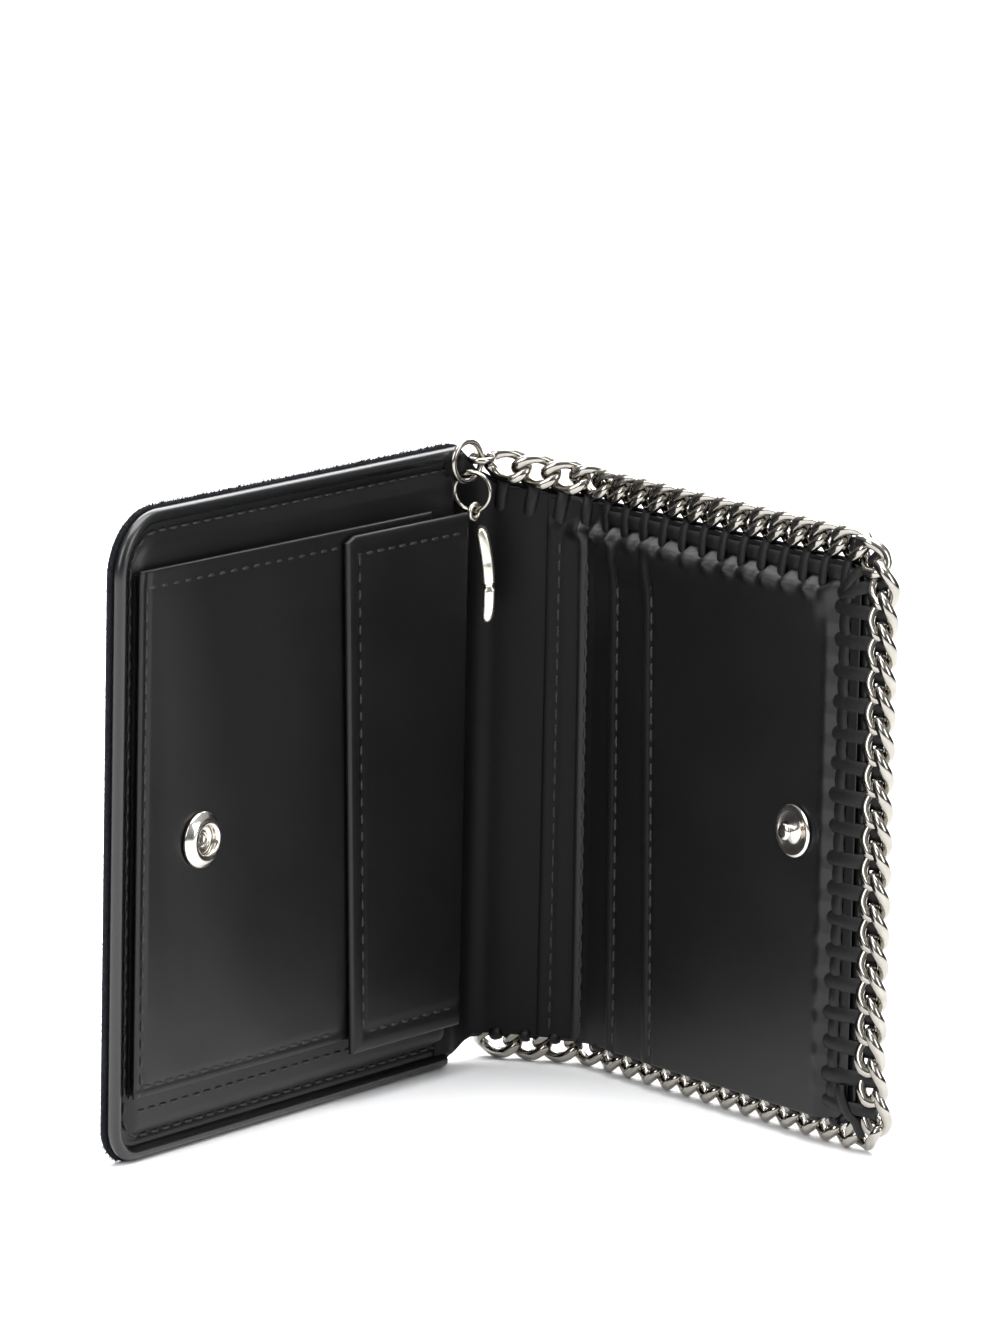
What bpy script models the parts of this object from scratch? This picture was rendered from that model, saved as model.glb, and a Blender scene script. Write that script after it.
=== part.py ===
"""Chain-edged bifold wallet, standing open on its side edge.

Metres, +Z up. The open V faces -Y and the spine is at the back. Sizes below are in
millimetres and become metres through MM. Each leather panel has its own frame, an
empty: X runs from the fold towards the panel's free edge and Z is up.
"""
import math

import bmesh
import bpy
from mathutils import Vector

MM = 0.001
GAP = 0.3                    # between pieces that touch on the real wallet

# ---- the open pose, seen from above -------------------------------------------------
ORIGIN_X, ORIGIN_Y = -10.0, 36.1    # the back panel's outer corner, with the whole centred
BACK_ANGLE = 36.0            # back panel, from the direction to the front
FLAP_ANGLE = 38.4            # flap, from the direction to the front, on the other side
SPINE_ANGLE = 13.5           # spine, from +X towards the front
CREASE_X, CREASE_Y = 25.34, 1.01    # outer corner where spine and flap meet
FOLD_X, FOLD_Y = 4.99, -1.33        # upright axis that the spine turns about

# ---- back panel ---------------------------------------------------------------------
BACK_WIDTH, BACK_HEIGHT = 95.0, 110.0
BACK_START = 4.5             # the fold takes the first stretch
BACK_TOP_RADIUS, BACK_FOOT_RADIUS = 11.0, 6.5
COVER = 0.9                  # cover fabric with its backing
BOARD = 0.4
LINING = 0.5
BINDING_WIDTH = 2.2          # turned edge that frames the lining
WALL = 0.4                   # wall behind the coins

# ---- coin pocket --------------------------------------------------------------------
POCKET_SEAM = 91.0           # where the pocket's front is sewn to the back panel
POCKET_MOUTH = 14.0
POCKET_FOOT, POCKET_TOP = 11.3, 100.3
POCKET_THICK = 0.9
POCKET_SLOPE = 1.04          # degrees that the front stands off towards its mouth
POCKET_SEAM_OFF = 3.55       # its back face, at the seam
GUSSET_WIDTH = 6.0
FLAP_STRIP_HINGE, FLAP_STRIP_OFF = 5.0, 6.9
FLAP_STRIP_WIDTH, FLAP_STRIP_THICK = 32.5, 1.3
FLAP_STRIP_FOOT, FLAP_STRIP_TOP = 9.0, 99.2

# ---- snap ---------------------------------------------------------------------------
SNAP_HEIGHT = 53.0
SOCKET_AT, STUD_AT = 75.0, 58.5     # from the fold, on the back panel and on the flap
SOCKET_RADIUS, SOCKET_HOLE, SOCKET_THICK = 4.9, 2.4, 1.9
STUD_RADIUS, STUD_KNOB, STUD_FLANGE, STUD_TALL = 4.5, 1.5, 0.8, 2.9

# ---- flap ---------------------------------------------------------------------------
FLAP_START = 2.0
FLAP_REACH = 80.8            # to the chain's outer side
FLAP_HEIGHT = 106.6          # chain to chain
FLAP_TOP_RADIUS, FLAP_FOOT_RADIUS = 9.0, 5.0     # of the chain's centre line
SLOT_STARTS = (2.0, 8.6, 17.9)
SLOT_STEP = 0.6
SLOT_THICK = 0.3
LACING_WIDTH = 4.8
SPINE_LENGTH = 20.0
SPINE_SLOT = 10.1            # first card slot's edge, back from the crease
SPINE_RISE = 2.6             # the spine's top edge climbs this much to meet the back panel

# ---- chain --------------------------------------------------------------------------
CHAIN_WIDTH, CHAIN_THICK, CHAIN_PITCH = 6.4, 2.0, 5.35
CHAIN_WAIST, CHAIN_HOLE = 4.6, 2.6
CHAIN_OFF = 0.6              # the chain's middle, in from the leather's outer face

# ---- rings and charm, from the back panel's outer corner -------------------------------
# The end link turns with the spine about the large ring's wire, on the fold's axis.
RING_LEVEL, RING_TURN = 107.3, 47.0
RING_RADIUS, RING_WIRE = 3.45, 0.55
END_LINK_REACH, END_LINK_TURN = 1.35, 82.7
END_LINK_RADIUS, END_LINK_STRETCH, END_LINK_WIRE = 1.8, 2.7, 0.6
SMALL_RING_AT, SMALL_RING_TURN = (3.58, -4.36, 102.2), -36.0
SMALL_RING_RADIUS, SMALL_RING_WIRE = 3.35, 0.45
BAIL_AT, BAIL_RADIUS, BAIL_WIRE = (4.0, -4.66, 98.75), 1.2, 0.4
CHARM_TOP, CHARM_TALL, CHARM_WIDE, CHARM_THICK = 96.2, 16.6, 5.4, 1.9
CHARM_X, CHARM_Y, CHARM_LEAN = 6.0, -4.2, 5.0

# ---- colour, roughness, metallic ------------------------------------------------------
FINISHES = {
    "cover_fabric": ((0.022, 0.022, 0.026), 0.85, 0.0),
    "panel_leather": ((0.016, 0.016, 0.018), 0.5, 0.0),
    "edge_gloss": ((0.2, 0.21, 0.24), 0.25, 0.0),
    "stiffener_board": ((0.12, 0.11, 0.1), 0.9, 0.0),
    "lacing_leather": ((0.012, 0.012, 0.013), 0.45, 0.0),
    "chain_steel": ((0.72, 0.71, 0.68), 0.15, 1.0),
    "snap_nickel": ((0.76, 0.76, 0.75), 0.2, 1.0),
    "charm_silver": ((0.62, 0.6, 0.56), 0.3, 1.0),
}


def finish(name):
    """The Principled material of that name, made once."""
    if name not in bpy.data.materials:
        colour, roughness, metallic = FINISHES[name]
        material = bpy.data.materials.new(name)
        material.use_nodes = True
        shader = material.node_tree.nodes["Principled BSDF"]
        shader.inputs["Base Color"].default_value = (*colour, 1.0)
        shader.inputs["Roughness"].default_value = roughness
        shader.inputs["Metallic"].default_value = metallic
    return bpy.data.materials[name]


def empty(name, at, turn=0.0, parent=None):
    """A frame for a panel or a moving piece: at in millimetres, turned about Z."""
    frame = bpy.data.objects.new(name, None)
    frame.location = Vector(at) * MM
    frame.rotation_euler.z = math.radians(turn)
    frame.parent = parent
    bpy.context.scene.collection.objects.link(frame)
    return frame


def piece(name, points, faces, frame, finish_name, smooth=False):
    """One closed solid in a frame, from points in millimetres."""
    mesh = bpy.data.meshes.new(name)
    mesh.from_pydata([Vector(p) * MM for p in points], [], faces)
    bm = bmesh.new()
    bm.from_mesh(mesh)
    bmesh.ops.recalc_face_normals(bm, faces=bm.faces)
    bm.to_mesh(mesh)
    bm.free()
    mesh.materials.append(finish(finish_name))
    if smooth:
        mesh.shade_smooth()
        mesh.set_sharp_from_angle(angle=math.radians(35))
    made = bpy.data.objects.new(name, mesh)
    made.parent = frame
    bpy.context.scene.collection.objects.link(made)
    return made


def outline(corners):
    """Polygon from (x, z, radius) corners in order: a round corner is an arc."""
    points = []
    for i, (x, z, radius) in enumerate(corners):
        if radius <= 0:
            points.append((x, z))
            continue
        here = Vector((x, z))
        before = (Vector(corners[i - 1][:2]) - here).normalized()
        after = (Vector(corners[(i + 1) % len(corners)][:2]) - here).normalized()
        start, centre = here + before * radius, here + (before + after) * radius
        for k in range(7):
            t = math.radians(15 * k)
            arm = (start - centre) * math.cos(t) + (here + after * radius - centre) * math.sin(t)
            points.append(tuple(centre + arm))
    return points


def plate(name, corners, low, high, frame, finish_name):
    """A flat panel: its outline in X and Z, from low to high along Y."""
    shape = outline(corners)
    n = len(shape)
    points = [(x, low, z) for x, z in shape] + [(x, high, z) for x, z in shape]
    sides = [(i, (i + 1) % n, (i + 1) % n + n, i + n) for i in range(n)]
    return piece(name, points, [tuple(range(n)), tuple(range(2 * n - 1, n - 1, -1)), *sides],
                 frame, finish_name)


def panel(name, x0, x1, z0, z1, low, high, frame, finish_name, top=0.0, foot=0.0):
    """A panel square at x0 and with round corners at x1."""
    corners = [(x0, z0, 0), (x1, z0, foot), (x1, z1, top), (x0, z1, 0)]
    return plate(name, corners, low, high, frame, finish_name)


def band(name, x0, reach, foot_z, top_z, width, low, high, frame, finish_name, top, foot):
    """A C-shaped strip that runs along a panel's top, free side and foot."""
    outer = outline([(x0, foot_z, 0), (reach, foot_z, foot), (reach, top_z, top), (x0, top_z, 0)])
    inner = outline([(x0, foot_z + width, 0), (reach - width, foot_z + width, foot - width),
                     (reach - width, top_z - width, top - width), (x0, top_z - width, 0)])
    loop = outer + inner[::-1]
    n = len(loop)
    half = len(outer)
    points = [(x, low, z) for x, z in loop] + [(x, high, z) for x, z in loop]
    caps = []
    for i in range(half - 1):
        quad = (i, i + 1, n - 2 - i, n - 1 - i)
        caps += [quad, tuple(n + k for k in quad[::-1])]
    sides = [(i, (i + 1) % n, (i + 1) % n + n, i + n) for i in range(n)]
    return piece(name, points, caps + sides, frame, finish_name)


def turned(name, profile, at, frame, finish_name, segments=24):
    """A closed profile of (radius, y) points turned about an axis along Y at (x, y, z)."""
    points, faces, rings = [], [], []
    for radius, y in profile:
        count = 1 if radius == 0 else segments
        rings.append(list(range(len(points), len(points) + count)))
        for k in range(count):
            t = 2 * math.pi * k / segments
            points.append((at[0] + radius * math.cos(t), at[1] + y, at[2] + radius * math.sin(t)))
    closed = profile[0][0] > 0
    for a, b in zip(rings, rings[1:] + rings[:1] if closed else rings[1:]):
        for k in range(segments):
            corner = [a[k % len(a)], a[(k + 1) % len(a)], b[(k + 1) % len(b)], b[k % len(b)]]
            faces.append(tuple(dict.fromkeys(corner)))
    return piece(name, points, faces, frame, finish_name, smooth=True)


def chain(name, route, rises, frame):
    """A flat run of chain links joined at their waists, with a hole through each link.

    route gives (x, z, dx, dz) at a distance along the centre line. Each link has stations
    at its waist and at either side of its hole.
    """
    length = route(None)
    count = max(1, round(length / CHAIN_PITCH))
    pitch = length / count
    stations = []
    for link in range(count):
        middle = (link + 0.5) * pitch
        stations += [(link * pitch, CHAIN_WAIST), (middle - pitch / 4, CHAIN_WIDTH),
                     (middle + pitch / 4, CHAIN_WIDTH)]
    stations.append((length, CHAIN_WAIST))
    points = []
    for along, width in stations:
        x, z, dx, dz = route(along)
        z += rises(along)
        for across in (-width / 2, -CHAIN_HOLE / 2, CHAIN_HOLE / 2, width / 2):
            for y in (-CHAIN_OFF - CHAIN_THICK / 2, -CHAIN_OFF + CHAIN_THICK / 2):
                points.append((x - dz * across, y, z + dx * across))
    faces = []
    for i in range(len(stations) - 1):
        a, b = 8 * i, 8 * (i + 1)
        in_hole = i % 3 == 1
        for k in (0, 4) if in_hole else (0, 2, 4):
            faces += [(a + k, a + k + 2, b + k + 2, b + k), (a + k + 1, b + k + 1, b + k + 3, a + k + 3)]
        faces += [(a, b, b + 1, a + 1), (a + 6, a + 7, b + 7, b + 6)]
        if in_hole:
            faces += [(a + 2, a + 3, b + 3, b + 2), (a + 4, b + 4, b + 5, a + 5)]
            faces += [(a + 2, a + 4, a + 5, a + 3), (b + 2, b + 3, b + 5, b + 4)]
    last = 8 * (len(stations) - 1)
    for base in (0, last):
        faces += [(base + k, base + k + 1, base + k + 3, base + k + 2) for k in (0, 2, 4)]
    return piece(name, points, faces, frame, "chain_steel")


def ring(name, at, turn, radius, wire, frame, finish_name, lying=False, stretch=0.0, turns=24):
    """A wire ring that stands upright, turned about Z. stretch adds straight sides along X."""
    points, faces, sides = [], [], 8
    for i in range(turns):
        a = 2 * math.pi * i / turns
        shift = math.copysign(stretch / 2, math.cos(a)) if abs(math.cos(a)) > 1e-6 else 0.0
        for k in range(sides):
            b = 2 * math.pi * k / sides
            r = radius + wire * math.cos(b)
            x, out, up = shift + r * math.cos(a), wire * math.sin(b), r * math.sin(a)
            x, y, z = (x, up, out) if lying else (x, out, up)
            c, s = math.cos(math.radians(turn)), math.sin(math.radians(turn))
            points.append((at[0] + x * c - y * s, at[1] + x * s + y * c, at[2] + z))
            j, m = (i + 1) % turns, (k + 1) % sides
            faces.append((i * sides + k, j * sides + k, j * sides + m, i * sides + m))
    return piece(name, points, faces, frame, finish_name, smooth=True)


for old in list(bpy.data.objects):
    bpy.data.objects.remove(old)

# ---- frames ---------------------------------------------------------------------------
corner = empty("corner_frame", (ORIGIN_X, ORIGIN_Y, 0))
back = empty("back_frame", (0, 0, 0), 270 - BACK_ANGLE, corner)
spine = empty("spine_frame", (CREASE_X, CREASE_Y, 0), -SPINE_ANGLE, corner)
flap = empty("flap_frame", (CREASE_X, CREASE_Y, 0), FLAP_ANGLE - 90, corner)
pocket = empty("pocket_frame", (POCKET_SEAM, POCKET_SEAM_OFF, 0), -POCKET_SLOPE, back)
strip = empty("coin_flap_frame", (FLAP_STRIP_HINGE, FLAP_STRIP_OFF, 0), -POCKET_SLOPE, back)

# ---- back panel: cover, board, turned edge, lining, wall behind the coins --------------
layer = COVER + GAP
panel("back_cover", BACK_START, BACK_WIDTH, 0, BACK_HEIGHT, 0, COVER, back, "cover_fabric",
      BACK_TOP_RADIUS, BACK_FOOT_RADIUS)
panel("back_stiffener", BACK_START + 1.5, BACK_WIDTH - 4, 4, BACK_HEIGHT - 4, layer, layer + BOARD,
      back, "stiffener_board", BACK_TOP_RADIUS - 4, BACK_FOOT_RADIUS - 4)
band("back_edge_binding", BACK_START, BACK_WIDTH, 0, BACK_HEIGHT, BINDING_WIDTH, layer,
     layer + BOARD + GAP + LINING, back, "edge_gloss", BACK_TOP_RADIUS, BACK_FOOT_RADIUS)
layer += BOARD + GAP
inset = BINDING_WIDTH + GAP
panel("back_lining", BACK_START, BACK_WIDTH - inset, inset, BACK_HEIGHT - inset, layer,
      layer + LINING, back, "panel_leather", BACK_TOP_RADIUS - inset, BACK_FOOT_RADIUS - inset)
layer += LINING + GAP
panel("coin_pocket_wall", BACK_START + 1.5, POCKET_SEAM, POCKET_FOOT, POCKET_TOP - 0.8, layer,
      layer + WALL, back, "panel_leather")

# ---- coin pocket: front, its two gussets, and the strip that closes its mouth ----------
depth = POCKET_SEAM - POCKET_MOUTH
panel("coin_pocket_front", -depth, 0, POCKET_FOOT, POCKET_TOP, 0, POCKET_THICK, pocket,
      "panel_leather")
rise = math.tan(math.radians(POCKET_SLOPE))
floor_off, roof_off = layer + WALL + GAP, POCKET_SEAM_OFF - GAP
for name, z0 in (("lower_gusset", POCKET_FOOT), ("upper_gusset", POCKET_TOP - GUSSET_WIDTH - 0.8)):
    near, far = POCKET_MOUTH, POCKET_SEAM - 45.0
    wedge = [(far, floor_off), (near, floor_off), (near, roof_off + (POCKET_SEAM - near) * rise),
             (far, roof_off + (POCKET_SEAM - far) * rise)]
    points = [(x, y, z) for z in (z0, z0 + GUSSET_WIDTH) for x, y in wedge]
    faces = [(0, 1, 2, 3), (7, 6, 5, 4), (0, 4, 5, 1), (1, 5, 6, 2), (2, 6, 7, 3), (3, 7, 4, 0)]
    piece(name, points, faces, back, "panel_leather")
panel("coin_flap", 0, FLAP_STRIP_WIDTH, FLAP_STRIP_FOOT, FLAP_STRIP_TOP, -FLAP_STRIP_THICK / 2,
      FLAP_STRIP_THICK / 2, strip, "panel_leather")

# ---- snap: ring-shaped socket on the pocket, stud on the flap --------------------------
socket_at = ((SOCKET_AT - POCKET_SEAM) / math.cos(math.radians(POCKET_SLOPE)),
             POCKET_THICK + GAP, SNAP_HEIGHT)
turned("snap_socket", [(SOCKET_HOLE, 0), (SOCKET_RADIUS, 0), (SOCKET_RADIUS, SOCKET_THICK * 0.6),
                       (SOCKET_RADIUS * 0.8, SOCKET_THICK), (SOCKET_HOLE, SOCKET_THICK)],
       socket_at, pocket, "snap_nickel")

# ---- flap: cover, lining, card slots, lacing and chain ---------------------------------
leather_reach = FLAP_REACH - CHAIN_WIDTH - GAP
leather_foot, leather_top = CHAIN_WIDTH + GAP, FLAP_HEIGHT - CHAIN_WIDTH - GAP
corner_top = FLAP_TOP_RADIUS - CHAIN_WIDTH / 2 - GAP
corner_foot = FLAP_FOOT_RADIUS - CHAIN_WIDTH / 2 - GAP
panel("flap_cover", FLAP_START, leather_reach, leather_foot, leather_top, -COVER, 0, flap,
      "cover_fabric", corner_top, corner_foot)
layer = COVER + GAP
panel("flap_lining", FLAP_START, leather_reach, leather_foot, leather_top, -layer - WALL, -layer,
      flap, "panel_leather", corner_top, corner_foot)
layer += WALL + GAP
band("flap_lacing", FLAP_START, leather_reach, leather_foot, leather_top, LACING_WIDTH, -layer - 1.1,
     -layer, flap, "lacing_leather", LACING_WIDTH + 0.6, LACING_WIDTH + 0.6)
inset = LACING_WIDTH + GAP
for i, start in enumerate(SLOT_STARTS):
    near = layer + i * SLOT_STEP
    panel(f"card_slot_{i + 2}", start, leather_reach - inset, leather_foot + inset,
          leather_top - inset, -near - SLOT_THICK, -near, flap, "panel_leather")
flap_face = layer + (len(SLOT_STARTS) - 1) * SLOT_STEP + SLOT_THICK
turned("snap_stud", [(0, 0), (STUD_RADIUS, 0), (STUD_RADIUS, -STUD_FLANGE / 2),
                     (STUD_RADIUS * 0.8, -STUD_FLANGE), (STUD_KNOB * 0.8, -STUD_FLANGE),
                     (STUD_KNOB, -STUD_TALL * 0.75), (STUD_KNOB * 0.7, -STUD_TALL), (0, -STUD_TALL)],
       (STUD_AT, -flap_face - GAP, SNAP_HEIGHT), flap, "snap_nickel")


def flap_route(along):
    """Centre line of the flap's chain: top, round corner, free side, round corner, foot."""
    half = CHAIN_WIDTH / 2
    top, foot, reach = FLAP_HEIGHT - half, half, FLAP_REACH - half
    r1, r2 = FLAP_TOP_RADIUS, FLAP_FOOT_RADIUS
    start = FLAP_START + 1.0
    stretches = [reach - r1 - start, r1 * math.pi / 2, top - foot - r1 - r2, r2 * math.pi / 2,
                 reach - r2 - start]
    if along is None:
        return sum(stretches)
    spot = 0
    while spot < 4 and along > stretches[spot]:
        along -= stretches[spot]
        spot += 1
    if spot == 0:
        return start + along, top, 1, 0
    if spot == 1:
        t = along / r1
        return reach - r1 + r1 * math.sin(t), top - r1 + r1 * math.cos(t), math.cos(t), -math.sin(t)
    if spot == 2:
        return reach, top - r1 - along, 0, -1
    if spot == 3:
        t = along / r2
        return reach - r2 + r2 * math.cos(t), foot + r2 - r2 * math.sin(t), -math.sin(t), -math.cos(t)
    return reach - r2 - along, foot, -1, 0


chain("flap_chain", flap_route, lambda along: 0.0, flap)

# ---- spine: cover, lining, first card slot and the chain along its two ends -------------
panel("spine_cover", -SPINE_LENGTH, -FLAP_START, leather_foot, leather_top, -COVER, 0, spine,
      "cover_fabric")
layer = COVER + GAP
panel("spine_lining", -SPINE_LENGTH, -FLAP_START, leather_foot, leather_top, -layer - WALL, -layer,
      spine, "panel_leather")
layer += WALL + GAP
panel("card_slot_1", -SPINE_SLOT, -FLAP_START, leather_foot + inset, leather_top - inset,
      -layer - SLOT_THICK, -layer, spine, "panel_leather")


def spine_route(z):
    """Centre line of a straight run along the spine at that height."""
    start, length = -SPINE_LENGTH, SPINE_LENGTH - FLAP_START - 1.0
    return lambda along: length if along is None else (start + along, z, 1, 0)


def spine_rise(along):
    """How far the spine's upper chain stands above the flap's: most where it starts."""
    return SPINE_RISE * (1 - along / SPINE_LENGTH) ** 1.5


chain("spine_chain_upper", spine_route(FLAP_HEIGHT - CHAIN_WIDTH / 2), spine_rise, spine)
chain("spine_chain_lower", spine_route(CHAIN_WIDTH / 2), lambda along: 0.0, spine)

# ---- rings and charm --------------------------------------------------------------------
link_turn, ring_turn = math.radians(END_LINK_TURN), math.radians(RING_TURN)
link_at = (FOLD_X + END_LINK_REACH * math.cos(link_turn),
           FOLD_Y + END_LINK_REACH * math.sin(link_turn), RING_LEVEL)
ring_at = (FOLD_X - RING_RADIUS * math.cos(ring_turn),
           FOLD_Y - RING_RADIUS * math.sin(ring_turn), RING_LEVEL)
ring("chain_end_link", link_at, END_LINK_TURN, END_LINK_RADIUS, END_LINK_WIRE, corner,
     "chain_steel", lying=True, stretch=END_LINK_STRETCH)
ring("large_ring", ring_at, RING_TURN, RING_RADIUS, RING_WIRE, corner, "chain_steel")
ring("small_ring", SMALL_RING_AT, SMALL_RING_TURN, SMALL_RING_RADIUS, SMALL_RING_WIRE, corner,
     "chain_steel")
ring("charm_bail", BAIL_AT, SMALL_RING_TURN + 90, BAIL_RADIUS, BAIL_WIRE, corner, "charm_silver",
     turns=16)
charm = empty("charm_frame", (CHARM_X, CHARM_Y, CHARM_TOP - CHARM_TALL / 2), 90, corner)
charm.rotation_euler.x = math.radians(CHARM_LEAN)
panel("charm_tag", -CHARM_WIDE / 2, CHARM_WIDE / 2, -CHARM_TALL / 2, CHARM_TALL / 2,
      -CHARM_THICK / 2, CHARM_THICK / 2, charm, "charm_silver", 2.0, 2.0)
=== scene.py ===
"""Looks of the chain wallet: leather, textile cover, stitching, lacing, chain, snap, rings and charm.

Lengths are in millimetres until a mesh is made. The leather is laid out along one line seen
from above: c runs from the back panel's free side (0) over the fold, the spine and the crease
to the flap's free side, off is the depth in from the outer surface, and z is up.
"""

import math

import bpy
import numpy as np
from mathutils import Matrix, Vector


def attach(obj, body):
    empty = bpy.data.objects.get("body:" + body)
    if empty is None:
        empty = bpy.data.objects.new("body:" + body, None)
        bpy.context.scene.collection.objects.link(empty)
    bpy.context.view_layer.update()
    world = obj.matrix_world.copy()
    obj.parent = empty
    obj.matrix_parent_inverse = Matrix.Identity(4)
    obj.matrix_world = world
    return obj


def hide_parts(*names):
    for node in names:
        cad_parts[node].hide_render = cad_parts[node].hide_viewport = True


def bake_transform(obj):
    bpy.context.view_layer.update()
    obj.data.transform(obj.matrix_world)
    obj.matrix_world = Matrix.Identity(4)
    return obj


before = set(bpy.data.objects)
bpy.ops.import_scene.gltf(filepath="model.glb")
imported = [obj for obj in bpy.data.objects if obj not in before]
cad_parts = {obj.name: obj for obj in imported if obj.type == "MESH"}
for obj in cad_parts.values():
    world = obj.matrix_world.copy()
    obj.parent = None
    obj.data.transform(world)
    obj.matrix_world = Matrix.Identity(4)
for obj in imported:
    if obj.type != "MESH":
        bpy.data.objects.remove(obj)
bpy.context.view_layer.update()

# ==== Outer cover =========================================================================
# One piece of napped textile wraps the back panel, the fold and the spine, and carries on
# over the flap. Its edge stands just outside the glossy turned edge of the back panel.

BACK_END, SPINE_START, SPINE_END, FLAP_START = 98.46, 105.51, 119.47, 126.40
MID_SPINE, LINING_JOIN, FLAP_EDGE = 112.5, 116.8, 196.9
BACK_HEADING, SPINE_HEADING, FLAP_HEADING = 54, -13.5, -51.6
LINE_END, LINE_STEP, LINE_X, LINE_Y = 215, 0.05, -65.84, -40.76
THINNEST, MM = 0.06, 0.001
line = np.arange(0, LINE_END, LINE_STEP)
heading = np.radians(np.interp(line, (BACK_END, SPINE_START, SPINE_END, FLAP_START),
                               (BACK_HEADING, SPINE_HEADING, SPINE_HEADING, FLAP_HEADING)))
line_x = LINE_X + np.concatenate([[0], np.cumsum(np.cos(heading[:-1]) * LINE_STEP)])
line_y = LINE_Y + np.concatenate([[0], np.cumsum(np.sin(heading[:-1]) * LINE_STEP)])


def skin(c, off, z):
    """Points in millimetres: along the line at c, off inwards along its normal, z up."""
    c, off, z = np.broadcast_arrays(np.asarray(c, float), off, z)
    turn = np.interp(c, line, heading)
    x = np.interp(c, line, line_x) + off * np.sin(turn)
    y = np.interp(c, line, line_y) - off * np.cos(turn)
    return np.stack([x, y, z], -1)


def solid(name, points, faces, material):
    """A mesh from points in millimetres, with its faces turned outwards."""
    mesh = bpy.data.meshes.new(name)
    mesh.from_pydata((np.asarray(points) * MM).tolist(), [], faces)
    mesh.materials.append(material)
    made = bpy.data.objects.new(name, mesh)
    bpy.context.scene.collection.objects.link(made)
    bpy.context.view_layer.objects.active = made
    made.select_set(True)
    bpy.ops.object.mode_set(mode="EDIT")
    bpy.ops.mesh.select_all(action="SELECT")
    bpy.ops.mesh.normals_make_consistent(inside=False)
    bpy.ops.object.mode_set(mode="OBJECT")
    made.select_set(False)
    mesh.shade_smooth()
    mesh.set_sharp_from_angle(angle=math.radians(52))
    return made


def grid_faces(rows, columns, start=0, close_rows=False, close_columns=False):
    """Quads of a grid of points stored row by row, from index start."""
    faces = []
    for i in range(rows if close_rows else rows - 1):
        for j in range(columns if close_columns else columns - 1):
            a, b = start + i * columns, start + (i + 1) % rows * columns
            k = (j + 1) % columns
            faces.append((a + j, b + j, b + k, a + k))
    return faces


def rim_of(rows, columns):
    """Indices round the edge of a grid of points stored row by row."""
    rim = [i * columns for i in range(rows)]
    rim += [(rows - 1) * columns + j for j in range(1, columns)]
    rim += [i * columns + columns - 1 for i in range(rows - 2, -1, -1)]
    return rim + list(range(columns - 2, 0, -1))


def sheet(name, near, far, shape, material):
    """A closed sheet from two grids of points of one shape, joined round their edges."""
    count = shape[0] * shape[1]
    faces = grid_faces(*shape)
    faces += [tuple(count + i for i in face[::-1]) for face in faces]
    rim = rim_of(*shape)
    faces += [(a, b, b + count, a + count) for a, b in zip(rim, rim[1:] + rim[:1])]
    return solid(name, np.concatenate([near, far]), faces, material)


def slab(name, c, z, front, back, material):
    """A sheet of leather or cloth over a grid of c and z, between two depths."""
    front = np.maximum(front, back + THINNEST)
    return sheet(name, skin(c, front, z).reshape(-1, 3), skin(c, back, z).reshape(-1, 3), c.shape,
                 material)


def lines(low, high, step, edge_low=True, edge_high=True):
    """Grid lines from low to high, closer together at the edges that are rounded."""
    close = np.array([0, 0.06, 0.16, 0.3, 0.5, 0.8, 1.2, 1.7, 2.3])
    middle = np.arange(low + 3.0, high - 3.0, step)
    start = low + close if edge_low else np.arange(low, low + 3.0, step)
    end = high - close[::-1] if edge_high else np.append(np.arange(high - 3.0, high, step), high)
    return np.concatenate([start, middle, end])


def spread(us, vs, low, high):
    """Grids of u and z: each column of z runs from low(u) to high(u), with vs from 0 to 1."""
    u, v = np.meshgrid(us, vs, indexing="ij")
    return u, low(u) + (high(u) - low(u)) * v


def rolled(d, radius):
    """Depth lost at a distance d from an edge that is rounded to that radius."""
    near = np.clip(1 - d / radius, 0, 1)
    return radius * (1 - np.sqrt(1 - near ** 2))


def ease(x):
    """A smooth step from 0 to 1."""
    x = np.clip(x, 0, 1)
    return x * x * (3 - 2 * x)


def arc_drop(u, edge, radius):
    """How far a round corner cuts in at u, for a corner of that radius that ends at edge."""
    x = np.clip((u - (edge - radius)) / radius, 0, 1)
    return radius * (1 - np.sqrt(1 - x ** 2))


def corner_distance(u, z, edge, low, high, r_low, r_high):
    """Distance in from the outline of a sheet with round corners at u = edge."""
    d = np.minimum(np.minimum(edge - u, z - low), high - z)
    for level, radius, side in ((low, r_low, 1), (high, r_high, -1)):
        if radius <= 0:
            continue
        du, dz = u - (edge - radius), (level - z) * side + radius
        inside = (du > 0) & (dz > 0)
        d = np.where(inside, np.minimum(d, radius - np.hypot(du, dz)), d)
    return np.maximum(d, 0)


def linear(code):
    """Linear RGBA from an sRGB hex code."""
    parts = [int(code[i:i + 2], 16) / 255 for i in (0, 2, 4)]
    return [p / 12.92 if p <= 0.04045 else ((p + 0.055) / 1.055) ** 2.4 for p in parts] + [1.0]


def add(material, kind, inputs=None, **settings):
    """Adds a node to a material. Inputs that are sockets are linked, and others are set."""
    made = material.node_tree.nodes.new(kind)
    for key, value in settings.items():
        setattr(made, key, value)
    for key, value in (inputs or {}).items():
        if isinstance(value, bpy.types.NodeSocket):
            material.node_tree.links.new(value, made.inputs[key])
        else:
            made.inputs[key].default_value = value
    return made


def new_material(name, **sockets):
    """A Principled material with constants set by socket name, and its object coordinates."""
    material = bpy.data.materials.new(name)
    material.use_nodes = True
    shader = material.node_tree.nodes["Principled BSDF"]
    for key, value in sockets.items():
        shader.inputs[key.replace("_", " ")].default_value = value
    return material, shader, add(material, "ShaderNodeTexCoord").outputs["Object"]


def connect(material, output, socket):
    """Links an output to a socket."""
    material.node_tree.links.new(output, socket)


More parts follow.
